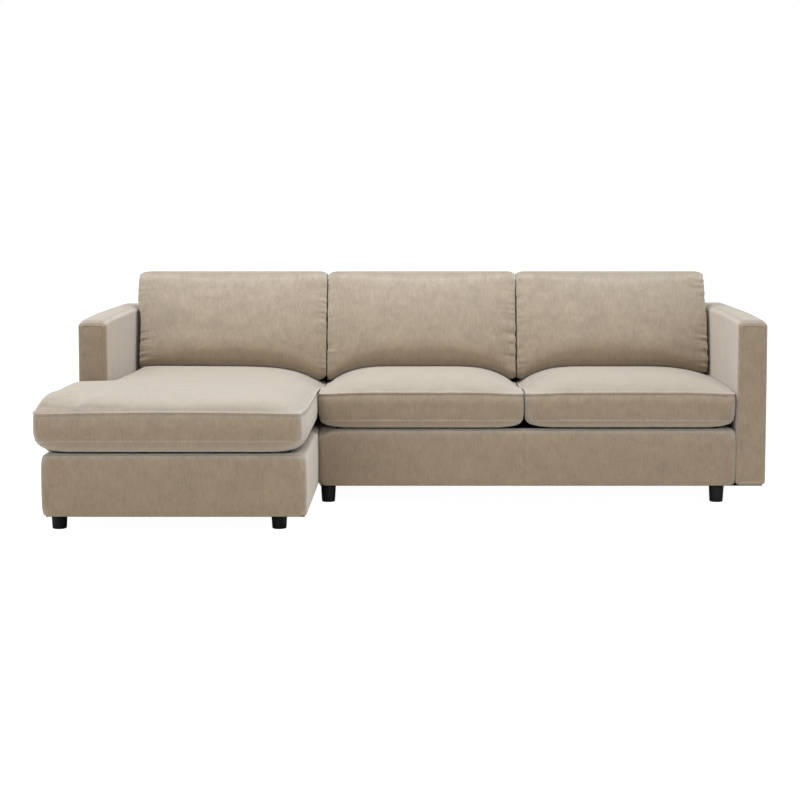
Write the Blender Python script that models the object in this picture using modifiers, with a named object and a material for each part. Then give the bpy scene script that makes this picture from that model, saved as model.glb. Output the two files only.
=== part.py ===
"""An L-shaped modular sofa: a chaise module on the left joined to a two-seat module on the right.

Metres, +Z up. Sizes below are taken from the middle of the sofa's width and from the front face of
its arms; the empty named sofa then carries every piece to the middle of the whole outline.
"""

import math

import bmesh
import bpy
from mathutils import Matrix, Vector

# Clearances
CLEAR = 0.0003
MODULE_GAP = 0.002
CUSHION_GAP = 0.003
BORE_CLEAR = 0.001

# Widths across the three seats and the arms
CHAISE_SEAT_WIDTH = 0.77
LEFT_SEAT_WIDTH = 0.76
RIGHT_SEAT_WIDTH = 0.78
ARM_THICKNESS = 0.105

# Depths and heights of the carcass
SOFA_DEPTH = 0.98
CHAISE_REACH = 0.66
CHAISE_SIDE_STEP = 0.007
BACK_THICKNESS = 0.15
ARM_HEIGHT = 0.685
BACK_HEIGHT = ARM_HEIGHT
EDGE_RADIUS = 0.018

# Timber and padding
BOARD = 0.025
POST = 0.045
RAIL_HEIGHT = 0.1865
PADDING = 0.012
LIP_WIDTH = 0.06
LIP_THICKNESS = 0.016
DUST_SHEET = 0.001
DUST_INSET = 0.006

# Feet
FOOT_HEIGHT = 0.0644
FOOT_TOP_RADIUS = 0.028
FOOT_BOTTOM_RADIUS = 0.0245
FOOT_ROUND = 0.003
STUD_RADIUS = 0.004
STUD_LENGTH = 0.026
FOOT_SIDES = 20
BLOCK_MARGIN = 0.038
CHAISE_FOOT_FROM_FRONT = 0.154
CHAISE_FOOT_FROM_LEFT = 0.029
CHAISE_FOOT_FROM_RIGHT = 0.102
SOFA_FOOT_FROM_FRONT = 0.05
SOFA_FOOT_FROM_LEFT = 0.034
SOFA_FOOT_FROM_RIGHT = 0.064

# Sinuous springs
WIRE_RADIUS = 0.002
SPRING_HALF_WIDTH = 0.026
SPRING_HALF_PITCH = 0.042
SPRING_SEAT = 0.014
TURN_POINTS = 5
CHAISE_SPRINGS = 4
SPRINGS_PER_SEAT = 3

# Seat cushions
SEAT_BOX = 0.1365
SEAT_CROWN = 0.045
CROWN_REACH = 0.25
CROWN_SETTLE = 0.0130
SIDE_OVERHANG = 0.024
FRONT_OVERHANG = 0.02
SOFA_OVERHANG = 0.012
EAR_GAP = 0.004
NOTCH_RELIEF = 0.016

# Back cushions
BACK_CUSHION_HEIGHT = 0.386
BACK_CUSHION_BOX = 0.215
BACK_CUSHION_CROWN = 0.075
BACK_CUSHION_TAPER = 0.36
BACK_SIDE_GAP = 0.011

# Steel connector between the modules
PLATE = 0.003
CONNECTOR_LENGTH = 0.10
CONNECTOR_REACH = 0.045
TONGUE_LENGTH = 0.07
CONNECTOR_FROM_FRONT = 0.35

# Places across the width
WIDTH = 2 * ARM_THICKNESS + CHAISE_SEAT_WIDTH + LEFT_SEAT_WIDTH + RIGHT_SEAT_WIDTH
LEFT_FACE = -WIDTH / 2
RIGHT_FACE = WIDTH / 2
CHAISE_LEFT = LEFT_FACE - CHAISE_SIDE_STEP
LEFT_INNER = LEFT_FACE + ARM_THICKNESS
RIGHT_INNER = RIGHT_FACE - ARM_THICKNESS
JOINT_X = LEFT_INNER + CHAISE_SEAT_WIDTH
DIVISION_X = JOINT_X + LEFT_SEAT_WIDTH
CHAISE_RIGHT = JOINT_X - MODULE_GAP / 2
SOFA_LEFT = JOINT_X + MODULE_GAP / 2

# Places along the depth
FRONT = 0.0
CHAISE_FRONT = FRONT - CHAISE_REACH
REAR = FRONT + SOFA_DEPTH
BACK_FACE = REAR - BACK_THICKNESS
BACK_MIDDLE = REAR - BACK_THICKNESS / 2

# Heights
FRAME_BOTTOM = FOOT_HEIGHT + DUST_SHEET + 2 * CLEAR
RAIL_BOTTOM = FRAME_BOTTOM + CLEAR
RAIL_TOP = RAIL_BOTTOM + RAIL_HEIGHT
WIRE_HEIGHT = RAIL_TOP + CLEAR + WIRE_RADIUS
LIP_BOTTOM = WIRE_HEIGHT + WIRE_RADIUS + CLEAR
BASE_TOP = LIP_BOTTOM + LIP_THICKNESS
SEAT_BOTTOM = BASE_TOP + CLEAR
SEAT_TOP = SEAT_BOTTOM + SEAT_BOX + SEAT_CROWN - CROWN_SETTLE
INSET = PADDING + CLEAR

# Feet in plan
CHAISE_FOOT_Y = CHAISE_FRONT + CHAISE_FOOT_FROM_FRONT
SOFA_FOOT_Y = FRONT + SOFA_FOOT_FROM_FRONT
CHAISE_LEFT_FOOT_X = CHAISE_LEFT + CHAISE_FOOT_FROM_LEFT
CHAISE_RIGHT_FOOT_X = CHAISE_RIGHT - CHAISE_FOOT_FROM_RIGHT
CHAISE_REAR_FOOT_X = LEFT_INNER + INSET + POST / 2 + CLEAR
SOFA_REAR_FOOT_X = SOFA_LEFT + INSET + POST / 2 + CLEAR
SOFA_LEFT_FOOT_X = SOFA_LEFT + SOFA_FOOT_FROM_LEFT
SOFA_RIGHT_FOOT_X = RIGHT_INNER - SOFA_FOOT_FROM_RIGHT

for leftover in list(bpy.data.objects):
    bpy.data.objects.remove(leftover, do_unlink=True)

PIECES = bpy.data.collections.new("modular_sofa")
CUTTERS = bpy.data.collections.new("cutters")
bpy.context.scene.collection.children.link(PIECES)
bpy.context.scene.collection.children.link(CUTTERS)


def material(name, colour, roughness, metallic=0.0):
    made = bpy.data.materials.new(name)
    made.use_nodes = True
    shader = made.node_tree.nodes["Principled BSDF"]
    shader.inputs["Base Color"].default_value = (*colour, 1.0)
    shader.inputs["Roughness"].default_value = roughness
    shader.inputs["Metallic"].default_value = metallic
    made.diffuse_color = (*colour, 1.0)
    return made


CLOTH = material("taupe_chenille", (0.42, 0.34, 0.26), 0.9)
DECK_CLOTH = material("black_deck_cloth", (0.02, 0.02, 0.02), 0.95)
DUST_CLOTH = material("black_dust_cloth", (0.03, 0.03, 0.03), 0.95)
TIMBER = material("pine", (0.62, 0.43, 0.24), 0.6)
BLACK_WOOD = material("black_lacquered_wood", (0.012, 0.011, 0.010), 0.4)
SPRING_STEEL = material("spring_steel", (0.35, 0.35, 0.36), 0.35, 1.0)
ZINC = material("zinc_plated_steel", (0.6, 0.6, 0.58), 0.4, 1.0)


def start_root():
    """The empty that carries the whole sofa to the middle of its outline."""
    root = bpy.data.objects.new("sofa", None)
    middle_x = (CHAISE_LEFT - SIDE_OVERHANG + RIGHT_FACE) / 2
    middle_y = (CHAISE_FRONT - FRONT_OVERHANG + REAR) / 2
    root.location = (-middle_x, -middle_y, 0.0)
    PIECES.objects.link(root)
    return root


ROOT = start_root()


def settle(piece, finish, collection=PIECES):
    """Puts a new object in its collection, under the sofa's empty, with its material."""
    for owner in list(piece.users_collection):
        owner.objects.unlink(piece)
    collection.objects.link(piece)
    piece.parent = ROOT
    if finish is not None:
        piece.data.materials.clear()
        piece.data.materials.append(finish)
    if collection is CUTTERS:
        piece.hide_render = True
        piece.display_type = "WIRE"
    return piece


def box(name, low, high, finish, collection=PIECES):
    """A cube primitive between two corners."""
    low = Vector(low)
    high = Vector(high)
    bpy.ops.mesh.primitive_cube_add(size=1.0, location=(low + high) / 2)
    piece = bpy.context.object
    piece.name = name
    piece.data.transform(Matrix.Diagonal((*(high - low), 1.0)))
    return settle(piece, finish, collection)


def circle(x, y, radius, sides):
    angles = [2 * math.pi * step / sides for step in range(sides)]
    return [(x + radius * math.cos(angle), y + radius * math.sin(angle)) for angle in angles]


def plate(name, outline, bottom, top, finish, holes=(), collection=PIECES):
    """A flat outline, with any holes, extruded upwards and made a mesh."""
    curve = bpy.data.curves.new(name, "CURVE")
    curve.dimensions = "2D"
    curve.fill_mode = "BOTH"
    curve.extrude = (top - bottom) / 2
    for points in (outline, *holes):
        spline = curve.splines.new("POLY")
        spline.points.add(len(points) - 1)
        for point, (x, y) in zip(spline.points, points):
            point.co = (x, y, 0.0, 1.0)
        spline.use_cyclic_u = True
    drawn = bpy.data.objects.new(name + "_outline", curve)
    drawn.location = (0.0, 0.0, (top + bottom) / 2)
    bpy.context.scene.collection.objects.link(drawn)
    graph = bpy.context.evaluated_depsgraph_get()
    mesh = bpy.data.meshes.new_from_object(drawn.evaluated_get(graph))
    joined = bmesh.new()
    joined.from_mesh(mesh)
    bmesh.ops.remove_doubles(joined, verts=joined.verts, dist=1e-6)
    joined.to_mesh(mesh)
    joined.free()
    piece = bpy.data.objects.new(name, mesh)
    piece.matrix_world = drawn.matrix_world.copy()
    bpy.data.objects.remove(drawn, do_unlink=True)
    return settle(piece, finish, collection)


def cut(piece, cutter):
    modifier = piece.modifiers.new("cut_by_" + cutter.name, "BOOLEAN")
    modifier.operation = "DIFFERENCE"
    modifier.solver = "EXACT"
    modifier.object = cutter


def bore_for_stud(piece, x, y):
    """A blind hole from below, in which a foot's stud turns home."""
    depth = STUD_LENGTH + BORE_CLEAR
    bottom = RAIL_BOTTOM - PADDING
    height = FOOT_HEIGHT + depth - bottom
    bpy.ops.mesh.primitive_cylinder_add(
        vertices=FOOT_SIDES,
        radius=STUD_RADIUS + BORE_CLEAR,
        depth=height,
        location=(x, y, bottom + height / 2),
    )
    drill = bpy.context.object
    drill.name = "drill_" + piece.name
    settle(drill, None, CUTTERS)
    cut(piece, drill)


def round_edges(piece, radius, segments, chosen):
    """Rounds the edges for which chosen(edge) holds, in the mesh itself."""
    shape = bmesh.new()
    shape.from_mesh(piece.data)
    edges = [edge for edge in shape.edges if edge.calc_face_angle(0.0) > math.radians(30)]
    edges = [edge for edge in edges if chosen(edge)]
    bmesh.ops.bevel(
        shape,
        geom=edges,
        offset=radius,
        offset_type="OFFSET",
        segments=segments,
        profile=0.5,
        affect="EDGES",
    )
    shape.to_mesh(piece.data)
    shape.free()
    piece.data.shade_smooth()
    piece.data.set_sharp_from_angle(angle=math.radians(40))


def above_bottom(piece):
    """Says of an edge whether it leaves the lowest face of the piece."""
    lowest = min(vertex.co.z for vertex in piece.data.vertices)
    return lambda edge: max(end.co.z for end in edge.verts) > lowest + EDGE_RADIUS


def foot(name, x, y):
    """A turned foot that tapers to the floor, with the stud that screws into the frame."""
    stud_top = FOOT_HEIGHT + STUD_LENGTH
    profile = [
        (0.0, stud_top),
        (STUD_RADIUS, stud_top),
        (STUD_RADIUS, FOOT_HEIGHT),
        (FOOT_TOP_RADIUS, FOOT_HEIGHT),
        (FOOT_BOTTOM_RADIUS, FOOT_ROUND),
        (FOOT_BOTTOM_RADIUS - FOOT_ROUND * (1 - math.sqrt(0.5)), FOOT_ROUND * (1 - math.sqrt(0.5))),
        (FOOT_BOTTOM_RADIUS - FOOT_ROUND, 0.0),
        (0.0, 0.0),
    ]
    mesh = bpy.data.meshes.new(name)
    points = [(radius, 0.0, height) for radius, height in profile]
    mesh.from_pydata(points, [(i, i + 1) for i in range(len(points) - 1)], [])
    piece = bpy.data.objects.new(name, mesh)
    piece.location = (x, y, 0.0)
    turn = piece.modifiers.new("turned", "SCREW")
    turn.steps = FOOT_SIDES
    turn.render_steps = FOOT_SIDES
    turn.use_merge_vertices = True
    turn.merge_threshold = 0.00001
    return settle(piece, BLACK_WOOD)


def make_feet():
    foot("foot_chaise_front_left", CHAISE_LEFT_FOOT_X, CHAISE_FOOT_Y)
    foot("foot_chaise_front_right", CHAISE_RIGHT_FOOT_X, CHAISE_FOOT_Y)
    foot("foot_chaise_rear_left", CHAISE_REAR_FOOT_X, BACK_MIDDLE)
    foot("foot_chaise_rear_right", CHAISE_RIGHT_FOOT_X, BACK_MIDDLE)
    foot("foot_sofa_front_left", SOFA_LEFT_FOOT_X, SOFA_FOOT_Y)
    foot("foot_sofa_front_right", SOFA_RIGHT_FOOT_X, SOFA_FOOT_Y)
    foot("foot_sofa_rear_left", SOFA_REAR_FOOT_X, BACK_MIDDLE)
    foot("foot_sofa_rear_right", SOFA_RIGHT_FOOT_X, BACK_MIDDLE)


def board(name, x0, x1, y0, y1):
    """A base board standing on edge at the full height of the rails."""
    return box(name, (x0, y0, RAIL_BOTTOM), (x1, y1, RAIL_TOP), TIMBER)


def make_chaise_frame():
    """Six boards round an L-shaped plan; two of them carry the front feet in glued blocks."""
    left = CHAISE_LEFT + INSET
    step = LEFT_INNER + INSET
    right = CHAISE_RIGHT - INSET
    front = CHAISE_FRONT + INSET
    shoulder = FRONT - INSET
    rear = BACK_FACE - INSET
    block_front = CHAISE_FOOT_Y - BLOCK_MARGIN
    block_rear = CHAISE_FOOT_Y + BLOCK_MARGIN
    side_front = front + BOARD + CLEAR
    board("chaise_front_rail", left, right, front, front + BOARD)
    board("chaise_shoulder_rail", left, step + BOARD, shoulder - BOARD, shoulder)
    board("chaise_left_rear_rail", step, step + BOARD, shoulder + CLEAR, rear - BOARD - CLEAR)
    board("chaise_rear_rail", step, right, rear - BOARD, rear)

    inner = CHAISE_LEFT_FOOT_X + BLOCK_MARGIN
    outline = [
        (left, side_front),
        (left + BOARD, side_front),
        (left + BOARD, block_front),
        (inner, block_front),
        (inner, block_rear),
        (left + BOARD, block_rear),
        (left + BOARD, shoulder - BOARD - CLEAR),
        (left, shoulder - BOARD - CLEAR),
    ]
    rail = plate("chaise_left_front_rail", outline, RAIL_BOTTOM, RAIL_TOP, TIMBER)
    bore_for_stud(rail, CHAISE_LEFT_FOOT_X, CHAISE_FOOT_Y)

    inner = CHAISE_RIGHT_FOOT_X - BLOCK_MARGIN
    outline = [
        (right, side_front),
        (right, rear - BOARD - CLEAR),
        (right - BOARD, rear - BOARD - CLEAR),
        (right - BOARD, block_rear),
        (inner, block_rear),
        (inner, block_front),
        (right - BOARD, block_front),
        (right - BOARD, side_front),
    ]
    rail = plate("chaise_right_rail", outline, RAIL_BOTTOM, RAIL_TOP, TIMBER)
    bore_for_stud(rail, CHAISE_RIGHT_FOOT_X, CHAISE_FOOT_Y)


def make_sofa_frame():
    """A front board with a foot block at each end, two sides, a rear board and a middle one."""
    left = SOFA_LEFT + INSET
    right = RIGHT_INNER - INSET
    front = FRONT + INSET
    rear = BACK_FACE - INSET
    block_rear = SOFA_FOOT_Y + BLOCK_MARGIN
    left_block = SOFA_LEFT_FOOT_X + BLOCK_MARGIN
    right_block = SOFA_RIGHT_FOOT_X - BLOCK_MARGIN
    outline = [
        (left, front),
        (right, front),
        (right, block_rear),
        (right_block, block_rear),
        (right_block, front + BOARD),
        (left_block, front + BOARD),
        (left_block, block_rear),
        (left, block_rear),
    ]
    rail = plate("sofa_front_rail", outline, RAIL_BOTTOM, RAIL_TOP, TIMBER)
    bore_for_stud(rail, SOFA_LEFT_FOOT_X, SOFA_FOOT_Y)
    bore_for_stud(rail, SOFA_RIGHT_FOOT_X, SOFA_FOOT_Y)
    side_front = block_rear + CLEAR
    side_rear = rear - BOARD - CLEAR
    board("sofa_left_rail", left, left + BOARD, side_front, side_rear)
    board("sofa_right_rail", right - BOARD, right, side_front, side_rear)
    board("sofa_rear_rail", left, right, rear - BOARD, rear)
    middle = DIVISION_X - BOARD / 2
    board("sofa_centre_rail", middle, middle + BOARD, front + BOARD + CLEAR, side_rear)


def wave(span):
    """The centre line of a sinuous spring: straight ends, and half-round turns between legs."""
    turns = int((span - 2 * SPRING_SEAT) / SPRING_HALF_PITCH)
    pitch = (span - 2 * SPRING_SEAT) / turns
    radius = pitch / 2
    points = [(0.0, 0.0)]
    for turn in range(turns):
        side = 1 if turn % 2 == 0 else -1
        middle = SPRING_SEAT + pitch * (turn + 0.5)
        for step in range(TURN_POINTS):
            angle = math.pi * (1 - step / (TURN_POINTS - 1))
            along = middle + radius * math.cos(angle)
            across = side * (SPRING_HALF_WIDTH - radius + radius * math.sin(angle))
            points.append((along, across))
    points.append((span, 0.0))
    return points


def spring(name, start, span, turned):
    """A zigzag wire whose straight ends lie on two boards."""
    curve = bpy.data.curves.new(name, "CURVE")
    curve.dimensions = "3D"
    curve.twist_mode = "Z_UP"
    curve.bevel_depth = WIRE_RADIUS
    curve.bevel_resolution = 0
    curve.use_fill_caps = True
    points = wave(span)
    spline = curve.splines.new("POLY")
    spline.points.add(len(points) - 1)
    for point, (along, across) in zip(spline.points, points):
        point.co = (along, across, 0.0, 1.0)
    piece = bpy.data.objects.new(name, curve)
    piece.location = (*start, WIRE_HEIGHT)
    piece.rotation_euler = (0.0, 0.0, math.pi / 2 if turned else 0.0)
    return settle(piece, SPRING_STEEL)


def make_springs():
    """Springs run across the chaise, and from front to back under the two seats."""
    seat_on_board = BOARD - 2 * CLEAR
    right = CHAISE_RIGHT - INSET - BOARD + seat_on_board
    first = CHAISE_FRONT + INSET + BOARD + 2 * SPRING_HALF_WIDTH
    last = BACK_FACE - INSET - BOARD - 2 * SPRING_HALF_WIDTH
    for index in range(CHAISE_SPRINGS):
        along = first + (last - first) * (index + 0.5) / CHAISE_SPRINGS
        in_front = along < FRONT - INSET - BOARD
        outer = CHAISE_LEFT if in_front else LEFT_INNER
        left = outer + INSET + BOARD - seat_on_board
        spring(f"chaise_spring_{index + 1}", (left, along), right - left, False)

    front = FRONT + INSET + BOARD - seat_on_board
    rear = BACK_FACE - INSET - BOARD + seat_on_board
    number = 1
    for left, right in ((SOFA_LEFT, DIVISION_X), (DIVISION_X, RIGHT_INNER)):
        for index in range(SPRINGS_PER_SEAT):
            across = left + (right - left) * (index + 0.5) / SPRINGS_PER_SEAT
            spring(f"sofa_spring_{number}", (across, front), rear - front, True)
            number += 1


def inset_outline(corners, distance):
    """The corners of an outline of square corners, run anticlockwise, moved in by a distance."""
    moved = []
    for index, corner in enumerate(corners):
        before = Vector(corners[index - 1])
        here = Vector(corner)
        after = Vector(corners[(index + 1) % len(corners)])
        into = (here - before).normalized()
        out = (after - here).normalized()
        shift = Vector((-into.y, into.x)) + Vector((-out.y, out.x))
        moved.append(tuple(here + shift * distance))
    return moved


def chaise_outline():
    return [
        (CHAISE_LEFT, CHAISE_FRONT),
        (CHAISE_RIGHT, CHAISE_FRONT),
        (CHAISE_RIGHT, BACK_FACE),
        (LEFT_INNER, BACK_FACE),
        (LEFT_INNER, FRONT),
        (CHAISE_LEFT, FRONT),
    ]


def sofa_outline():
    return [
        (SOFA_LEFT, FRONT),
        (RIGHT_INNER, FRONT),
        (RIGHT_INNER, BACK_FACE),
        (SOFA_LEFT, BACK_FACE),
    ]


def base_cover(name, outline):
    """Padded cloth round the base boards, turned over their tops as a lip round the deck."""
    cover = plate(name, outline, FRAME_BOTTOM, BASE_TOP, CLOTH)
    round_edges(cover, EDGE_RADIUS, 3, above_bottom(cover))
    overshoot = PADDING
    inner = plate(
        "hollow_" + name,
        inset_outline(outline, PADDING),
        FRAME_BOTTOM - overshoot,
        LIP_BOTTOM,
        None,
        collection=CUTTERS,
    )
    window = plate(
        "window_" + name,
        inset_outline(outline, LIP_WIDTH),
        FRAME_BOTTOM - overshoot,
        BASE_TOP + overshoot,
        None,
        collection=CUTTERS,
    )
    cut(cover, inner)
    cut(cover, window)


def deck_pad(name, outline):
    """Felt and black cloth that lie on the springs, inside the lip."""
    inside = inset_outline(outline, LIP_WIDTH + CLEAR)
    plate(name, inside, LIP_BOTTOM, BASE_TOP, DECK_CLOTH)


def dust_cover(name, left, right, front, feet):
    """Thin black cloth stapled under a whole module, pierced where the feet screw in."""
    outline = [
        (left + DUST_INSET, front + DUST_INSET),
        (right - DUST_INSET, front + DUST_INSET),
        (right - DUST_INSET, REAR - DUST_INSET),
        (left + DUST_INSET, REAR - DUST_INSET),
    ]
    holes = [circle(x, y, STUD_RADIUS + BORE_CLEAR, FOOT_SIDES) for x, y in feet]
    bottom = FOOT_HEIGHT + CLEAR
    plate(name, outline, bottom, bottom + DUST_SHEET, DUST_CLOTH, holes)


def make_base_upholstery():
    base_cover("chaise_base_cover", chaise_outline())
    base_cover("sofa_base_cover", sofa_outline())
    deck_pad("chaise_deck_pad", chaise_outline())
    deck_pad("sofa_deck_pad", sofa_outline())
    chaise_feet = [
        (CHAISE_LEFT_FOOT_X, CHAISE_FOOT_Y),
        (CHAISE_RIGHT_FOOT_X, CHAISE_FOOT_Y),
        (CHAISE_REAR_FOOT_X, BACK_MIDDLE),
        (CHAISE_RIGHT_FOOT_X, BACK_MIDDLE),
    ]
    sofa_feet = [
        (SOFA_LEFT_FOOT_X, SOFA_FOOT_Y),
        (SOFA_RIGHT_FOOT_X, SOFA_FOOT_Y),
        (SOFA_REAR_FOOT_X, BACK_MIDDLE),
        (SOFA_RIGHT_FOOT_X, BACK_MIDDLE),
    ]
    dust_cover("chaise_dust_cover", LEFT_FACE, CHAISE_RIGHT, CHAISE_FRONT, chaise_feet)
    dust_cover("sofa_dust_cover", SOFA_LEFT, RIGHT_FACE, FRONT, sofa_feet)


def padded_cover(name, low, high):
    """A padded cloth cover over a frame: closed on top and round the sides, open below."""
    cover = box(name, low, high, CLOTH)
    round_edges(cover, EDGE_RADIUS, 3, above_bottom(cover))
    hollow = box(
        "hollow_" + name,
        (low[0] + PADDING, low[1] + PADDING, low[2] - PADDING),
        (high[0] - PADDING, high[1] - PADDING, high[2] - PADDING),
        None,
        CUTTERS,
    )
    cut(cover, hollow)


def make_arm(side, x0, x1):
    """An arm: two posts under a top rail, all inside one cover."""
    padded_cover(f"{side}_arm_cover", (x0, FRONT + CLEAR, FRAME_BOTTOM), (x1, REAR, ARM_HEIGHT))
    left = x0 + INSET
    right = x1 - INSET
    front = FRONT + CLEAR + INSET
    rear = REAR - INSET
    rail_top = ARM_HEIGHT - INSET
    post_top = rail_top - BOARD - CLEAR
    box(f"{side}_arm_front_post", (left, front, RAIL_BOTTOM), (right, front + POST, post_top), TIMBER)
    box(f"{side}_arm_rear_post", (left, rear - POST, RAIL_BOTTOM), (right, rear, post_top), TIMBER)
    box(f"{side}_arm_top_rail", (left, front, rail_top - BOARD), (right, rear, rail_top), TIMBER)


def make_back(module, x0, x1, posts):
    """A back: posts that stand over the rear feet, a top rail and the cover."""
    padded_cover(f"{module}_back_cover", (x0, BACK_FACE, FRAME_BOTTOM), (x1, REAR, BACK_HEIGHT))
    front = BACK_FACE + INSET
    rear = REAR - INSET
    rail_top = BACK_HEIGHT - INSET
    post_top = rail_top - BOARD - CLEAR
    for side, x in posts:
        post = box(
            f"{module}_back_{side}_post",
            (x - POST / 2, front, RAIL_BOTTOM),
            (x + POST / 2, rear, post_top),
            TIMBER,
        )
        bore_for_stud(post, x, BACK_MIDDLE)
    low = (x0 + INSET, front, rail_top - BOARD)
    box(f"{module}_back_top_rail", low, (x1 - INSET, rear, rail_top), TIMBER)


def make_arms_and_backs():
    make_arm("left", LEFT_FACE, LEFT_INNER - CLEAR)
    make_arm("right", RIGHT_INNER + CLEAR, RIGHT_FACE)
    chaise_posts = (("left", CHAISE_REAR_FOOT_X), ("right", CHAISE_RIGHT_FOOT_X))
    sofa_posts = (("left", SOFA_REAR_FOOT_X), ("right", SOFA_RIGHT_FOOT_X))
    make_back("chaise", LEFT_INNER, CHAISE_RIGHT, chaise_posts)
    make_back("sofa", SOFA_LEFT, RIGHT_INNER, sofa_posts)


def cage_lines(start, end, cells):
    """Places of a cage's lines, closer together towards both ends."""
    places = [0.5 - 0.5 * math.cos(math.pi * step / cells) for step in range(cells + 1)]
    return [start + (end - start) * place for place in places]


def distance_in(x, y, corners):
    """How far a point lies from the nearest side of an outline."""
    nearest = math.inf
    point = Vector((x, y))
    for index, corner in enumerate(corners):
        start = Vector(corners[index - 1])
        side = Vector(corner) - start
        share = max(0.0, min(1.0, (point - start).dot(side) / side.length_squared))
        nearest = min(nearest, (start + side * share - point).length)
    return nearest


def crown_at(x, y, corners, height, reach):
    """Height of a stuffed face over its seam: steep at the edge, level in the middle."""
    share = min(1.0, distance_in(x, y, corners) / reach)
    return height * (1.0 - (1.0 - share) ** 2)


def cushion(name, columns, rows, corners, rings, crown, reach, place):
    """A stuffed cushion, as a cage under Subdivision.

    The cage is a grid over the outline, domed by the crown, whose open border is then extruded
    through the rings, each an inset and a height, and closed. place carries a cage point to its
    spot in the sofa.
    """
    shape = bmesh.new()
    across = len(columns) - 1
    along = len(rows) - 1
    bmesh.ops.create_grid(shape, x_segments=across, y_segments=along, size=1.0)
    for vertex in shape.verts:
        column = round((vertex.co.x + 1.0) / 2.0 * across)
        row = round((vertex.co.y + 1.0) / 2.0 * along)
        vertex.co = (columns[column], rows[row], 0.0)
    notch = [face for face in shape.faces if not inside(face.calc_center_median(), corners)]
    bmesh.ops.delete(shape, geom=notch, context="FACES")

    outward = {}
    number = shape.verts.layers.int.new("border")
    for edge in shape.edges:
        if not edge.is_boundary:
            continue
        middle = (edge.verts[0].co + edge.verts[1].co) / 2
        away = middle - edge.link_faces[0].calc_center_median()
        flat = (edge.verts[0].co - edge.verts[1].co).normalized()
        away = (away - flat * away.dot(flat)).normalized()
        for vertex in edge.verts:
            if vertex[number] == 0:
                vertex[number] = len(outward) + 1
                relief = NOTCH_RELIEF if len(vertex.link_faces) == 3 else 0.0
                outward[vertex[number]] = [vertex.co.copy(), [], relief]
            facing = outward[vertex[number]][1]
            if not any(away.dot(other) > 0.9 for other in facing):
                facing.append(away)

    inset, height = rings[0]
    for vertex in shape.verts:
        if vertex[number] == 0:
            vertex.co.z = height + crown_at(vertex.co.x, vertex.co.y, corners, crown, reach)
    border = [edge for edge in shape.edges if edge.is_boundary]
    ring = {vertex for edge in border for vertex in edge.verts}
    for step, (inset, height) in enumerate(rings):
        if step > 0:
            made = bmesh.ops.extrude_edge_only(shape, edges=border)["geom"]
            ring = [item for item in made if isinstance(item, bmesh.types.BMVert)]
            border = [edge for edge in shape.edges if edge.is_boundary]
        for vertex in ring:
            start, facing, relief = outward[vertex[number]]
            vertex.co = start - sum(facing, Vector()) * (inset + relief)
            vertex.co.z = height
    bmesh.ops.contextual_create(shape, geom=border)
    bmesh.ops.recalc_face_normals(shape, faces=shape.faces)
    for vertex in shape.verts:
        vertex.co = place(vertex.co)

    mesh = bpy.data.meshes.new(name)
    shape.to_mesh(mesh)
    shape.free()
    mesh.shade_smooth()
    piece = bpy.data.objects.new(name, mesh)
    smooth = piece.modifiers.new("stuffed", "SUBSURF")
    smooth.levels = 1
    smooth.render_levels = 1
    return settle(piece, CLOTH)


def inside(point, corners):
    """Whether a point lies inside an outline, by counting the sides that it sees to its right."""
    seen = 0
    for index, (x1, y1) in enumerate(corners):
        x0, y0 = corners[index - 1]
        if (y0 > point.y) != (y1 > point.y):
            if point.x < x0 + (x1 - x0) * (point.y - y0) / (y1 - y0):
                seen += 1
    return seen % 2 == 1


def seat_rings():
    """Seam at the top of the box, the box's slight belly, the lower seam and the underside."""
    return [
        (0.005, SEAT_BOX),
        (-0.002, SEAT_BOX * 0.62),
        (0.004, SEAT_BOX * 0.26),
        (0.020, SEAT_BOX * 0.04),
        (0.050, 0.0),
    ]


def raise_to_deck(point):
    return Vector((point.x, point.y, point.z + SEAT_BOTTOM))


def make_seat_cushions():
    """One long cushion with an ear before the left arm, and two that fill the two-seat module."""
    left = CHAISE_LEFT - SIDE_OVERHANG
    step = LEFT_INNER + CUSHION_GAP
    right = JOINT_X - CUSHION_GAP / 2
    front = CHAISE_FRONT - FRONT_OVERHANG
    ear = FRONT - EAR_GAP
    rear = BACK_FACE - CUSHION_GAP
    corners = [(left, front), (right, front), (right, rear), (step, rear), (step, ear), (left, ear)]
    columns = cage_lines(left, step, 2)[:-1] + cage_lines(step, right, 5)
    rows = cage_lines(front, ear, 4)[:-1] + cage_lines(ear, rear, 5)
    cushion(
        "chaise_seat_cushion",
        columns,
        rows,
        corners,
        seat_rings(),
        SEAT_CROWN,
        CROWN_REACH,
        raise_to_deck,
    )
    spans = (
        ("sofa_seat_cushion_left", JOINT_X + CUSHION_GAP / 2, DIVISION_X - CUSHION_GAP / 2),
        ("sofa_seat_cushion_right", DIVISION_X + CUSHION_GAP / 2, RIGHT_INNER - CUSHION_GAP),
    )
    front = FRONT - SOFA_OVERHANG
    for name, left, right in spans:
        corners = [(left, front), (right, front), (right, rear), (left, rear)]
        cushion(
            name,
            cage_lines(left, right, 6),
            cage_lines(front, rear, 6),
            corners,
            seat_rings(),
            SEAT_CROWN,
            CROWN_REACH,
            raise_to_deck,
        )


def lean_on_back(point):
    """Stands a cushion up with its rings against the back; it thins towards the top."""
    share = point.y / BACK_CUSHION_HEIGHT
    depth = point.z * (1.0 - BACK_CUSHION_TAPER * share)
    return Vector((point.x, BACK_FACE - CLEAR - depth, SEAT_TOP + CLEAR + point.y))


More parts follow.
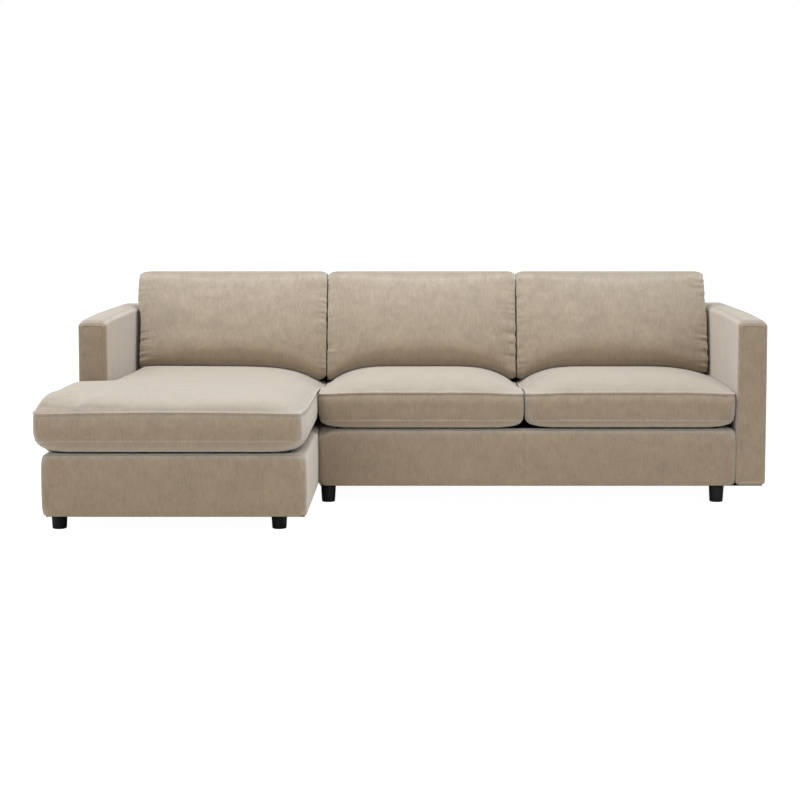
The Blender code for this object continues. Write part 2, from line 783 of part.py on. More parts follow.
def make_back_cushions():
    """Three upright cushions that stand on the seats and lean on the backs."""
    spans = (
        ("back_cushion_left", LEFT_INNER + BACK_SIDE_GAP, JOINT_X - CUSHION_GAP / 2),
        ("back_cushion_middle", JOINT_X + CUSHION_GAP / 2, DIVISION_X - CUSHION_GAP / 2),
        ("back_cushion_right", DIVISION_X + CUSHION_GAP / 2, RIGHT_INNER - BACK_SIDE_GAP),
    )
    rings = [
        (0.006, BACK_CUSHION_BOX),
        (-0.004, BACK_CUSHION_BOX * 0.6),
        (0.004, BACK_CUSHION_BOX * 0.2),
        (0.040, 0.0),
        (0.080, 0.0),
    ]
    for name, left, right in spans:
        corners = [
            (left, 0.0),
            (right, 0.0),
            (right, BACK_CUSHION_HEIGHT),
            (left, BACK_CUSHION_HEIGHT),
        ]
        cushion(
            name,
            cage_lines(left, right, 6),
            cage_lines(0.0, BACK_CUSHION_HEIGHT, 5),
            corners,
            rings,
            BACK_CUSHION_CROWN,
            BACK_CUSHION_HEIGHT / 2,
            lean_on_back,
        )


def make_connector():
    """A steel tongue under the two-seat module that slides into a socket under the chaise."""
    top = FOOT_HEIGHT
    y0 = FRONT + CONNECTOR_FROM_FRONT
    y1 = y0 + CONNECTOR_LENGTH
    middle = (y0 + y1) / 2
    left = CHAISE_RIGHT - CONNECTOR_REACH
    right = SOFA_LEFT + CONNECTOR_REACH
    tongue_low = top - 2 * PLATE - CLEAR
    cheek = TONGUE_LENGTH / 2 + CLEAR
    socket = box(
        "connector_socket",
        (left, y0, tongue_low - CLEAR - PLATE),
        (CHAISE_RIGHT, y1, top),
        ZINC,
    )
    slot = box(
        "connector_slot",
        (left - PLATE, middle - cheek, tongue_low - CLEAR),
        (CHAISE_RIGHT + PLATE, middle + cheek, top - PLATE),
        None,
        CUTTERS,
    )
    cut(socket, slot)
    tongue = box(
        "connector_tongue",
        (left, middle - TONGUE_LENGTH / 2, tongue_low),
        (right, middle + TONGUE_LENGTH / 2, top),
        ZINC,
    )
    over = box(
        "room_for_socket",
        (left - PLATE, y0, top - PLATE - CLEAR),
        (SOFA_LEFT, y1, top + PLATE),
        None,
        CUTTERS,
    )
    under = box(
        "joggle_under_tongue",
        (SOFA_LEFT + PLATE, y0, tongue_low - PLATE),
        (right + PLATE, y1, top - PLATE),
        None,
        CUTTERS,
    )
    cut(tongue, over)
    cut(tongue, under)


make_feet()
make_chaise_frame()
make_sofa_frame()
make_springs()
make_base_upholstery()
make_arms_and_backs()
make_seat_cushions()
make_back_cushions()
make_connector()
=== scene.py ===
import math

import bpy
import numpy as np
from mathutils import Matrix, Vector
from mathutils.bvhtree import BVHTree
from mathutils.kdtree import KDTree


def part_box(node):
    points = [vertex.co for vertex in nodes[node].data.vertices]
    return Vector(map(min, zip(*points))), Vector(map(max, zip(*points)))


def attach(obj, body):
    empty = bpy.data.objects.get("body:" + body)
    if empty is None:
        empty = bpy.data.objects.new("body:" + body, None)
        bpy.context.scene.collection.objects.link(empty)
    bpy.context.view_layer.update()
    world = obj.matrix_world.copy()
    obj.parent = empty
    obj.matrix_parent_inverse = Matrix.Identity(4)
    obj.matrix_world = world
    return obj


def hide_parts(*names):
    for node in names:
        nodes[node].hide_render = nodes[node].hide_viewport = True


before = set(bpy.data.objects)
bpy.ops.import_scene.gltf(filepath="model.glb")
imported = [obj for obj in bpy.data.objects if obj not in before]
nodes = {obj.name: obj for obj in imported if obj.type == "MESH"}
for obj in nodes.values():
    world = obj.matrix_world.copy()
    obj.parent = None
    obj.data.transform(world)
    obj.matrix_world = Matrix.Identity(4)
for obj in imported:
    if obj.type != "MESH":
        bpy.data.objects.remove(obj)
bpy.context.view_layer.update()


# Timber frame
# Pine boards, posts and rails, sawn square, stapled and glued into one box under each module and
# one frame in each arm and back. They are bare wood, seen only where the cloth is open.

def new_finish(name, roughness):
    finish = bpy.data.materials.new(name)
    finish.use_nodes = True
    shader = finish.node_tree.nodes["Principled BSDF"]
    shader.inputs["Roughness"].default_value = roughness
    return finish, shader


def add_node(finish, kind, values=None, **settings):
    node = finish.node_tree.nodes.new("ShaderNode" + kind)
    for name, value in settings.items():
        setattr(node, name, value)
    for socket, value in (values or {}).items():
        node.inputs[socket].default_value = value
    return node


def wire(finish, output, socket):
    finish.node_tree.links.new(output, socket)


def speckle(finish, vector, scale, detail=2.0, rough=0.5, distortion=0.0):
    """Noise over a vector. A scale of three numbers stretches it along the axes."""
    if not isinstance(scale, float):
        mapping = add_node(finish, "Mapping", {"Scale": scale})
        wire(finish, vector, mapping.inputs["Vector"])
        vector, scale = mapping.outputs["Vector"], 1.0
    noise = add_node(
        finish,
        "TexNoise",
        {"Scale": scale, "Detail": detail, "Roughness": rough, "Distortion": distortion},
    )
    wire(finish, vector, noise.inputs["Vector"])
    return noise.outputs["Fac"]


def shades(finish, fac, *stops):
    """A colour ramp over fac, from (place, colour) stops."""
    ramp = add_node(finish, "ValToRGB")
    elements = ramp.color_ramp.elements
    while len(elements) < len(stops):
        elements.new(0.5)
    for element, (place, colour) in zip(elements, stops):
        element.position = place
        element.color = (*colour, 1.0)
    wire(finish, fac, ramp.inputs["Fac"])
    return ramp.outputs["Color"]


def relief(finish, shader, height, strength, distance):
    bump = add_node(finish, "Bump", {"Strength": strength, "Distance": distance})
    wire(finish, height, bump.inputs["Height"])
    wire(finish, bump.outputs["Normal"], shader.inputs["Normal"])


def pine(axis):
    """Pine with its grain along one axis."""
    finish, shader = new_finish("pine_along_" + "xyz"[axis], 0.62)
    across_grain, along_grain = 34.0, 1.6
    grain = [across_grain] * 3
    grain[axis] = along_grain
    where = add_node(finish, "TexCoord").outputs["Object"]
    rings = speckle(finish, where, grain, 5.0, 0.55, 0.9)
    pores = speckle(finish, where, [8 * scale for scale in grain], 3.0)
    colour = shades(
        finish,
        rings,
        (0.32, (0.52, 0.32, 0.15)),
        (0.47, (0.66, 0.46, 0.25)),
        (0.66, (0.74, 0.56, 0.34)),
    )
    wire(finish, colour, shader.inputs["Base Color"])
    relief(finish, shader, pores, 0.35, 0.0006)
    return finish


def coat(node, finish):
    """Gives a solid one finish all over."""
    node.data.materials.clear()
    node.data.materials.append(finish)


PINE = [pine(0), pine(1), pine(2)]
for name, node in nodes.items():
    if name.endswith(("_rail", "_post")):
        low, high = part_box(name)
        size = high - low
        coat(node, PINE[max(range(3), key=lambda axis: size[axis])])


# Springs and the connector
# Zigzag springs of oiled steel wire, clipped to the boards, and the zinc-plated tongue and socket
# that hook the two modules together from below.

def metal(name, dark, light, roughness, scale):
    finish, shader = new_finish(name, roughness)
    shader.inputs["Metallic"].default_value = 1.0
    where = add_node(finish, "TexCoord").outputs["Object"]
    patches = speckle(finish, where, scale, 6.0, 0.6)
    wire(finish, shades(finish, patches, (0.35, dark), (0.65, light)), shader.inputs["Base Color"])
    dull = add_node(finish, "MapRange", {"To Min": roughness - 0.08, "To Max": roughness + 0.14})
    wire(finish, patches, dull.inputs["Value"])
    wire(finish, dull.outputs["Result"], shader.inputs["Roughness"])
    return finish


SPRING_STEEL = metal("spring_steel", (0.16, 0.15, 0.14), (0.30, 0.29, 0.28), 0.36, 60.0)
ZINC = metal("zinc_plate", (0.50, 0.51, 0.50), (0.68, 0.69, 0.66), 0.40, 140.0)
for name, node in nodes.items():
    if "_spring_" in name or name.startswith("connector_"):
        coat(node, SPRING_STEEL if "_spring_" in name else ZINC)


# Feet
# Eight turned feet of black lacquered wood. They taper to the floor, with a softened lower edge,
# and screw into the frame by a steel stud.

def black_lacquer():
    finish, shader = new_finish("black_lacquer", 0.5)
    shader.inputs["Specular IOR Level"].default_value = 0.2
    where = add_node(finish, "TexCoord").outputs["Object"]
    grain = speckle(finish, where, (420.0, 420.0, 26.0), 3.0, 0.6)
    colour = shades(finish, grain, (0.3, (0.0045, 0.004, 0.004)), (0.75, (0.011, 0.010, 0.009)))
    wire(finish, colour, shader.inputs["Base Color"])
    relief(finish, shader, grain, 0.25, 0.0004)
    return finish


def new_piece(name, points, faces, finish):
    mesh = bpy.data.meshes.new(name)
    mesh.from_pydata([tuple(point) for point in points], [], faces)
    mesh.materials.append(finish)
    mesh.polygons.foreach_set("use_smooth", [True] * len(mesh.polygons))
    piece = bpy.data.objects.new(name, mesh)
    bpy.context.scene.collection.objects.link(piece)
    return piece


def turned(profile, middle):
    """Points and faces of a profile of (radius, height) turned about an upright line."""
    steps = 64
    points = [Vector((middle.x, middle.y, profile[0][1]))]
    faces = []
    for radius, height in profile[1:-1]:
        for step in range(steps):
            angle = 2 * math.pi * step / steps
            x = middle.x + radius * math.cos(angle)
            y = middle.y + radius * math.sin(angle)
            points.append(Vector((x, y, height)))
    points.append(Vector((middle.x, middle.y, profile[-1][1])))
    for step in range(steps):
        after = (step + 1) % steps
        faces.append((1 + after, 1 + step, 0))
        for ring in range(len(profile) - 3):
            start = 1 + ring * steps
            below = start + steps
            faces.append((start + after, below + after, below + step, start + step))
        last = 1 + (len(profile) - 3) * steps
        faces.append((len(points) - 1, last + step, last + after))
    return points, faces


LACQUER = black_lacquer()
LATHE_STEPS = 5
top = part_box("chaise_dust_cover")[0].z - 0.0003
stud, bevel = 0.004, 0.0012
wide, narrow, soft = 0.028, 0.0245, 0.0035
for name in sorted(nodes):
    if not name.startswith("foot_"):
        continue
    low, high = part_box(name)
    profile = [(0.0, high.z), (0.0036, high.z), (stud, high.z - 0.0006), (stud, top)]
    profile += [(wide - bevel, top), (wide, top - bevel)]
    for step in range(1, LATHE_STEPS):
        share = step / LATHE_STEPS
        profile.append((wide + (narrow - wide) * share, top - bevel + (soft - top) * share))
    for step in range(LATHE_STEPS + 1):
        angle = math.pi / 2 * step / LATHE_STEPS
        profile.append((narrow - soft + soft * math.cos(angle), soft - soft * math.sin(angle)))
    profile.append((0.0, 0.0))
    points, faces = turned(profile, (low + high) / 2)
    foot = new_piece("turned_" + name, points, faces, LACQUER)
    foot.data.set_sharp_from_angle(angle=math.radians(50))
    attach(foot, "root")
    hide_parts(name)


# Deck and dust covers
# Black felted cloth: a deck pad that lies over the springs inside the base's padded lip, and a
# thin cover stapled under each module.

def black_felt(name, light):
    finish, shader = new_finish(name, 0.95)
    shader.inputs["Specular IOR Level"].default_value = 0.08
    where = add_node(finish, "TexCoord").outputs["Object"]
    fibres = speckle(finish, where, 900.0, 4.0, 0.7, 1.5)
    dots = speckle(finish, where, 260.0, 1.0, 0.5)
    dark = tuple(0.35 * part for part in light)
    wire(finish, shades(finish, fibres, (0.3, dark), (0.7, light)), shader.inputs["Base Color"])
    relief(finish, shader, dots, 0.5, 0.0006)
    return finish


DECK_FELT = black_felt("black_deck_felt", (0.020, 0.019, 0.018))
DUST_FELT = black_felt("black_dust_felt", (0.035, 0.034, 0.034))
for module in ("chaise", "sofa"):
    for kind, finish in (("_deck_pad", DECK_FELT), ("_dust_cover", DUST_FELT)):
        coat(nodes[module + kind], finish)


# Base covers
# Taupe chenille over thin foam, pulled tight round each base, rounded over the top edge and
# turned in under the boards. The two-seat base has an upright seam in the middle of its front.

# Painted light and shade: the chenille's colour by how far the cloth faces up, dark on upright
# faces, a painted highlight on slopes, painted shade where it is nearly flat and a middling tone on
# flat tops.
UPRIGHT_PAINTED_SHADE = (0.230, 0.163, 0.094)
STEEP_PAINTED_TONE = (0.279, 0.211, 0.135)
LEANING_PAINTED_LIGHT = (0.301, 0.241, 0.170)
SLOPING_PAINTED_HIGHLIGHT = (0.356, 0.296, 0.232)
NEAR_FLAT_PAINTED_SHADE = (0.203, 0.161, 0.111)
FLAT_TOP_PAINTED_LIGHT = (0.270, 0.217, 0.151)


def chenille(name):
    """Chenille: streaky pile ribs along the cloth's own length, thin weft and a brushed nap.

    Its colour is painted light and shade by how far the cloth faces up: dark on upright faces,
    rising to a painted highlight on slopes, painted shade where it is nearly flat, and a middling
    tone on flat tops.
    Sides that face left or right are rubbed, and show more of the mottling than of the pile.
    """
    finish, shader = new_finish(name, 0.92)
    shader.inputs["Specular IOR Level"].default_value = 0.25
    shader.inputs["Sheen Weight"].default_value = 0.66
    shader.inputs["Sheen Roughness"].default_value = 0.71
    shader.inputs["Sheen Tint"].default_value = (1.0, 0.965, 0.915, 1.0)
    cloth = add_node(finish, "UVMap", uv_map="cloth").outputs["UV"]
    where = add_node(finish, "TexCoord").outputs["Object"]
    streaks = speckle(finish, cloth, (150.0, 30.0, 1.0), 4.0, 0.62, 0.5)
    ribs = speckle(finish, cloth, (430.0, 60.0, 1.0), 2.0, 0.6, 0.3)
    weft = speckle(finish, cloth, (40.0, 300.0, 1.0), 2.0, 0.55, 0.3)
    pile = speckle(finish, cloth, (900.0, 700.0, 1.0), 2.0, 0.6)
    nap = speckle(finish, where, 19.0, 4.0, 0.62, 0.7)

    def weighed(first, second, share):
        mix = add_node(finish, "Mix", {"Factor": share}, data_type="FLOAT")
        wire(finish, first, mix.inputs["A"])
        wire(finish, second, mix.inputs["B"])
        return mix.outputs["Result"]

    threads = weighed(ribs, weft, 0.42)
    streaky = weighed(streaks, threads, 0.38)
    mottled = weighed(streaky, nap, 0.36)
    full = weighed(mottled, pile, 0.20)
    shade = shades(finish, full, (0.36, (0.72,) * 3), (0.5, (1.0,) * 3), (0.64, (1.29,) * 3))
    normal = add_node(finish, "NewGeometry").outputs["Normal"]
    parts = add_node(finish, "SeparateXYZ")
    wire(finish, normal, parts.inputs[0])
    # Painted light and shade, chosen by how far the surface faces up.
    painted_facing_light = shades(
        finish,
        parts.outputs["Z"],
        (0.0, UPRIGHT_PAINTED_SHADE),
        (0.14, STEEP_PAINTED_TONE),
        (0.38, LEANING_PAINTED_LIGHT),
        (0.64, SLOPING_PAINTED_HIGHLIGHT),
        (0.89, NEAR_FLAT_PAINTED_SHADE),
        (0.99, FLAT_TOP_PAINTED_LIGHT),
    )
    sideways = add_node(finish, "Math", operation="ABSOLUTE")
    wire(finish, parts.outputs["X"], sideways.inputs[0])
    rubbed = shades(finish, mottled, (0.39, (0.75,) * 3), (0.5, (1.0,) * 3), (0.61, (1.30,) * 3))
    # The Mix node's sockets for colours share their names with others, so they go by number.
    share_socket, first_socket, second_socket, result_socket = 0, 6, 7, 2
    worn_shade = add_node(finish, "Mix", data_type="RGBA")
    wire(finish, sideways.outputs[0], worn_shade.inputs[share_socket])
    wire(finish, shade, worn_shade.inputs[first_socket])
    wire(finish, rubbed, worn_shade.inputs[second_socket])
    both = add_node(finish, "VectorMath", operation="MULTIPLY")
    wire(finish, painted_facing_light, both.inputs[0])
    wire(finish, worn_shade.outputs[result_socket], both.inputs[1])
    wire(finish, both.outputs["Vector"], shader.inputs["Base Color"])
    relief(finish, shader, weighed(streaky, pile, 0.30), 0.70, 0.0014)
    return finish


CHENILLE = chenille("taupe_chenille")


def cloth_piece(name, points, faces, cloth):
    """A chenille piece. cloth holds each face corner's place on the flat cloth, in metres."""
    piece = new_piece(name, points, faces, CHENILLE)
    layer = piece.data.uv_layers.new(name="cloth")
    layer.data.foreach_set("uv", np.array(cloth, np.float32).ravel())
    return piece


def hump(off, width):
    """1 where off is 0, falling away smoothly on both sides."""
    return math.exp(-((off / width) ** 2))


def rounded_loop(corners, inset, radius, marks):
    """Points round an outline of square corners, moved in by inset, each corner rounded.

    The count is the same for every inset. marks holds distances along a side at which it must
    have a point: {side: [distance, ...]}.
    """
    spacing, clear, sharpest, turn = 0.025, 0.009, 0.002, 6
    corners = [Vector(corner) for corner in corners]
    arcs = []
    for before, here, after in zip(corners[-1:] + corners, corners, corners[1:] + corners[:1]):
        into = (here - before).normalized()
        out = (after - here).normalized()
        from_side = Vector((-into.y, into.x))
        to_side = Vector((-out.y, out.x))
        convex = into.cross(out) > 0
        bend = max(radius - inset, sharpest) if convex else radius + inset
        sign = 1 if convex else -1
        centre = here + (from_side + to_side) * (inset + sign * bend)
        arc = []
        for step in range(turn + 1):
            angle = math.pi / 2 * step / turn
            normal = from_side * math.cos(angle) + to_side * math.sin(angle)
            arc.append((centre - normal * sign * bend, -normal))
        arcs.append(arc)
    loop = []
    for index, arc in enumerate(arcs):
        loop += arc
        start, normal = arc[-1]
        end = arcs[(index + 1) % len(arcs)][0][0]
        side = corners[(index + 1) % len(corners)] - corners[index]
        count = max(1, round(side.length / spacing))
        stops = [step / count for step in range(1, count)]
        wanted = marks.get(index, [])
        if wanted:
            stops = [s for s in stops if min(abs(s * side.length - m) for m in wanted) > clear]
            shares = []
            for mark in wanted:
                place = corners[index] + side.normalized() * mark
                shares.append((place - start).dot(end - start) / (end - start).length_squared)
            stops = sorted(stops + shares)
        loop += [(start + (end - start) * stop, normal) for stop in stops]
    return loop


def base_skin(name, node, corners, seams, worn):
    """A closed skin round a base: outside, rounded top edge, lip, and back down the inside.

    worn holds (x, y, depth) for places on its top edge that have settled.
    """
    low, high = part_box(node)
    bottom, top = low.z, high.z
    edge = 0.017
    lip = 0.060
    lip_thickness = 0.016
    foam = 0.012
    profile = [(foam, bottom + 0.0012), (0.006, bottom), (0.0018, bottom + 0.0006)]
    profile += [(0.0, bottom + 0.004), (-0.0006, bottom + 0.010)]
    rows = 9
    for row in range(1, rows):
        share = row / rows
        swell = 0.0012 * math.sin(math.pi * share)
        profile.append((-0.0006 - swell, bottom + 0.010 + (top - edge - bottom - 0.010) * share))
    for step in range(7):
        angle = math.pi / 2 * step / 6
        profile.append((edge - edge * math.cos(angle), top - edge + edge * math.sin(angle)))
    profile += [(0.024, top), (lip - 0.003, top), (lip, top - 0.003)]
    profile += [(lip, top - lip_thickness + 0.002), (lip - 0.002, top - lip_thickness)]
    profile += [(foam + 0.004, top - lip_thickness), (foam, top - lip_thickness - 0.006)]
    profile += [(foam, (top + bottom) / 2), (foam, bottom + 0.02)]
    marks = {}
    if seams:
        marks[0] = sorted(
            place - corners[0][0] + shift
            for place in seams
            for shift in (-0.007, -0.003, -0.0012, 0.0, 0.0012, 0.003, 0.007)
        )
    outer = [place for place, _ in rounded_loop(corners, 0.0, edge, marks)]
    lengths = [0.0]
    for place, after in zip(outer, outer[1:] + outer[:1]):
        lengths.append(lengths[-1] + (after - place).length)
    heights = [0.0]
    for before, here in zip(profile, profile[1:]):
        heights.append(heights[-1] + math.dist(before, here))
    points = []
    for inset, height in profile:
        turn = 0.018 + 0.020 * max(0.0, 1.0 - (height - bottom) / 0.030)
        turn += 0.016 * max(0.0, 1.0 - (top - height) / 0.032)
        for place, outward in rounded_loop(corners, inset, turn, marks):
            spot = Vector((place.x, place.y, height))
            for seam in seams:
                off = abs(place.x - seam)
                if off < 0.008 and outward.y < -0.9 and inset < 0.012:
                    ridge = 0.0010 * hump(off - 0.003, 0.0018)
                    groove = 0.0020 * hump(off, 0.0014)
                    spot.y += groove - ridge
            for x, y, depth in worn:
                near = hump(math.hypot(place.x - x, place.y - y), 0.036)
                spot.z -= depth * near * max(0.0, 1.0 - (top - height) / 0.05)
            points.append(spot)
    rings = len(profile)
    count = len(outer)
    faces = []
    cloth = []
    heights.append(heights[-1] + 0.05)
    for ring in range(rings):
        here, beyond = ring * count, (ring + 1) % rings * count
        start, end = heights[ring], heights[ring + 1]
        for step in range(count):
            after = (step + 1) % count
            faces.append((here + step, here + after, beyond + after, beyond + step))
            near, far = lengths[step], lengths[step + 1]
            cloth += [(near, start), (far, start), (far, end), (near, end)]
    skin = cloth_piece(name, points, faces, cloth)
    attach(skin, "root")
    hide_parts(node)


chaise_low, chaise_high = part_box("chaise_base_cover")
sofa_low, sofa_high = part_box("sofa_base_cover")
arm_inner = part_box("chaise_back_cover")[0].x
division = (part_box("back_cushion_middle")[1].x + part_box("back_cushion_right")[0].x) / 2
chaise_plan = [
    (chaise_low.x, chaise_low.y),
    (chaise_high.x, chaise_low.y),
    (chaise_high.x, chaise_high.y),
    (arm_inner, chaise_high.y),
    (arm_inner, sofa_low.y),
    (chaise_low.x, sofa_low.y),
]
sofa_plan = [
    (sofa_low.x, sofa_low.y),
    (sofa_high.x, sofa_low.y),
    (sofa_high.x, sofa_high.y),
    (sofa_low.x, sofa_high.y),
]
chaise_worn = [(chaise_high.x, sofa_low.y, 0.010)]
base_skin("chaise_base_skin", "chaise_base_cover", chaise_plan, [], chaise_worn)
sofa_worn = [(sofa_low.x, sofa_low.y, 0.023)]
base_skin("sofa_base_skin", "sofa_base_cover", sofa_plan, [division], sofa_worn)


# Arm covers
# Chenille over foam round each arm's frame: a narrow front panel with a sewn edge, a top strip,
# and inner and outer sides joined to it by seams along the two long edges.

SEAM_FINE = (0.0025, 0.006, 0.0105, 0.016, 0.023, 0.032)


def clamp(value):
    return min(1.0, max(0.0, value))


def eased(share):
    """The same share from 0 to 1, with a soft start and end."""
    return share * share * (3 - 2 * share)


def spread(start, end, step, fine=()):
    """Places from start to end, about a step apart, with finer ones near both ends."""
    inner_start = start + (fine[-1] if fine else 0.0)
    inner_end = end - (fine[-1] if fine else 0.0)
    count = max(1, round((inner_end - inner_start) / step))
    middle = [inner_start + (inner_end - inner_start) * i / count for i in range(count + 1)]
    first = [start] + [start + place for place in fine[:-1]]
    last = [end - place for place in reversed(fine[:-1])] + [end]
    return first + middle + last if fine else middle


def relaxed(places, free):
    """Evens out the free nodes of a grid inside its fixed border."""
    index = {node: number for number, node in enumerate(places)}
    spots = np.array(list(places.values()), float)
    moving = np.array([index[node] for node in free])
    steps = ((1, 0), (-1, 0), (0, 1), (0, -1))
    around = [[index[(i + a, j + b)] for i, j in free] for a, b in steps]
    for _ in range(400):
        spots[moving] = sum(spots[side] for side in around) / 4
    return {node: tuple(spots[number]) for node, number in index.items()}


def square_corners(left, right, low, high, shares=(1.0, 1.0, 1.0, 1.0)):
    """A rectangle's corners, as sewn() takes them."""
    sides = ((left, low, 1, 1), (right, low, -1, 1), (right, high, -1, -1), (left, high, 1, -1))
    return [(*corner, share) for corner, share in zip(sides, shares)]


def sewn(name, columns, rows, corners, rings, place, dome, kept=lambda u, v: True, lying=False):
    """A cover of a front panel, a band of rings and a closing panel, sewn edge to edge.

    The panel is a grid over columns and rows, less the cells that kept() refuses. Each ring is
    (outset, depth, radius): how far it stands outside the panel's edge, its depth along the
    band, and how round its corners are. corners holds (u, v, inward u, inward v, share of the
    radius). place(u, v, depth) puts a point in the sofa; dome(u, v) swells the panels outwards.
    A lying cushion has a flat closing panel, and its band's cloth runs round it.
    """
    cells = {
        (i, j)
        for i in range(len(columns) - 1)
        for j in range(len(rows) - 1)
        if kept((columns[i] + columns[i + 1]) / 2, (rows[j] + rows[j + 1]) / 2)
    }
    outward = {}
    edges = {}
    for i, j in cells:
        square = ((i, j), (i + 1, j), (i + 1, j + 1), (i, j + 1))
        beyond = ((0, -1), (1, 0), (0, 1), (-1, 0))
        for start, end, (du, dv) in zip(square, square[1:] + square[:1], beyond):
            if (i + du, j + dv) in cells:
                continue
            edges[start] = end
            for node in (start, end):
                outward.setdefault(node, set()).add((du, dv))
    first = min(edges)
    border = [first]
    while edges[border[-1]] != first:
        border.append(edges[border[-1]])

    def spot(node, ring):
        outset, depth, radius = ring
        u, v = columns[node[0]], rows[node[1]]
        for du, dv in outward.get(node, ()):
            u += du * outset
            v += dv * outset
        for cu, cv, su, sv, share in corners:
            bend = radius * share
            from_u = bend - (u - cu + su * outset) * su
            from_v = bend - (v - cv + sv * outset) * sv
            if from_u > 0 and from_v > 0:
                ratio = max(from_u, from_v) / math.hypot(from_u, from_v)
                u = cu - su * outset + su * (bend - from_u * ratio)
                v = cv - sv * outset + sv * (bend - from_v * ratio)
        return u, v, depth

    points = []
    front = {}
    toward = 1 if rings[0][1] > rings[-1][1] else -1
    panel_nodes = sorted({(i + a, j + b) for i, j in cells for a in (0, 1) for b in (0, 1)})
    for node in panel_nodes:
        u, v, depth = spot(node, rings[0])
        front[node] = len(points)
        points.append(place(u, v, depth + toward * dome(u, v)))
    loops = [[front[node] for node in border]]
    for ring in rings[1:]:
        loops.append([])
        for node in border:
            loops[-1].append(len(points))
            points.append(place(*spot(node, ring)))

    run = [0.0]
    for node, after in zip(border, border[1:] + border[:1]):
        run.append(run[-1] + math.dist(spot(node, rings[0])[:2], spot(after, rings[0])[:2]))
    band = [0.0]
    for before, here in zip(rings, rings[1:]):
        band.append(band[-1] + math.dist(before[:2], here[:2]))

    faces = []
    cloth = []
    for i, j in sorted(cells):
        square = ((i, j), (i + 1, j), (i + 1, j + 1), (i, j + 1))
        faces.append([front[node] for node in square])
        cloth += [(columns[node[0]], rows[node[1]]) for node in square]
    for loop, next_loop, start, end in zip(loops, loops[1:], band, band[1:]):
        for index in range(len(border)):
            after = (index + 1) % len(border)
            faces.append([loop[after], loop[index], next_loop[index], next_loop[after]])
            near, far = run[index], run[index + 1]
            flat = ((far, start), (near, start), (near, end), (far, end))
            cloth += flat if lying else [(b, a) for a, b in flat]
    rear = {node: loops[-1][index] for index, node in enumerate(border)}
    flat_places = {node: spot(node, rings[-1])[:2] for node in panel_nodes}
    inner_nodes = [node for node in panel_nodes if node not in rear]
    if rings[-1][0] != rings[0][0]:
        flat_places = relaxed(flat_places, inner_nodes)
    for node in inner_nodes:
        u, v = flat_places[node]
        rear[node] = len(points)
        lift = 0.0 if lying else toward * dome(u, v)
        points.append(place(u, v, rings[-1][1] - lift))
    for i, j in sorted(cells):
        square = ((i, j + 1), (i + 1, j + 1), (i + 1, j), (i, j))
        faces.append([rear[node] for node in square])
        cloth += [(columns[node[0]], rows[node[1]]) for node in square]
    piece = cloth_piece(name, points, faces, cloth)
    if sum(face.center.dot(face.normal) * face.area for face in piece.data.polygons) < 0:
        piece.data.flip_normals()
    return piece, loops


def smoothed(piece):
    """Subdivides the piece's mesh once, in place."""
    fold = piece.modifiers.new("smooth", "SUBSURF")
    fold.levels = fold.render_levels = 1
    graph = bpy.context.evaluated_depsgraph_get()
    fine = bpy.data.meshes.new_from_object(piece.evaluated_get(graph))
    piece.modifiers.clear()
    coarse = piece.data
    piece.data = fine
    bpy.data.meshes.remove(coarse)


def get_points(piece, kind="co"):
    """The vertices' places, or their normals where kind is "normal"."""
    points = np.zeros(len(piece.data.vertices) * 3, np.float32)
    piece.data.vertices.foreach_get(kind, points)
    return points.reshape(-1, 3).astype(float)


def set_points(piece, points):
    piece.data.vertices.foreach_set("co", points.astype(np.float32).ravel())
    piece.data.update()


def wander(places, seed):
    """Smooth random values from -1 to 1 along a line, one swing to each unit."""
    cell = np.floor(places)
    share = eased(places - cell)

    def value(number):
        turned_number = np.sin(number * 127.1 + seed * 311.7) * 43758.5453
        return 2 * (turned_number - np.floor(turned_number)) - 1

    return value(cell) * (1 - share) + value(cell + 1) * share


def nearest_on(points, line):
    """For each point, how far it is from a line of points, and how far along the line that is."""
    starts = line[:-1]
    sides = line[1:] - line[:-1]
    lengths = np.linalg.norm(sides, axis=1)
    before = np.concatenate([[0.0], np.cumsum(lengths)])[:-1]
    tree = KDTree(len(line))
    for index, point in enumerate(line):
        tree.insert(point, index)
    tree.balance()
    distance = np.zeros(len(points))
    along = np.zeros(len(points))
    for index, point in enumerate(points):
        _, found, _ = tree.find(point)
        places = []
        for side in range(max(0, found - 1), min(len(starts), found + 1)):
            reach = np.dot(point - starts[side], sides[side])
            share = clamp(reach / max(lengths[side] ** 2, 1e-12))
            gap = np.linalg.norm(starts[side] + sides[side] * share - point)
            places.append((gap, before[side] + lengths[side] * share))
        distance[index], along[index] = min(places)
    return distance, along


def pucker(piece, line, depth, reach, pitch, seed, groove=0.0, groove_width=0.003):
    """Gathers the cloth beside a seam: short folds across it that fade away from it.

    depth is how deep the folds are, reach how far they run and pitch how far they lie apart.
    """
    points = get_points(piece)
    near = np.ones(len(points), bool)
    line = np.asarray(line, float)
    for axis in range(3):
        near &= points[:, axis] > line[:, axis].min() - 3 * reach
        near &= points[:, axis] < line[:, axis].max() + 3 * reach
    chosen = np.nonzero(near)[0]
    distance, along = nearest_on(points[chosen], line)
    fade = np.exp(-distance / reach) * np.minimum(1.0, distance / 0.004)
    folds = wander(along / pitch, seed) * 0.65
    folds += wander(along / (pitch * 0.43) + distance / (3 * pitch), seed + 5) * 0.35
    strength = 0.55 + 0.45 * wander(along / (9 * pitch), seed + 9)
    shift = depth * fade * folds * strength
    shift -= groove * np.exp(-((distance / groove_width) ** 2))
    points[chosen] += get_points(piece, "normal")[chosen] * shift[:, None]
    set_points(piece, points)


def finish_soft(piece, node):
    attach(piece, "root")
    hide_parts(node)


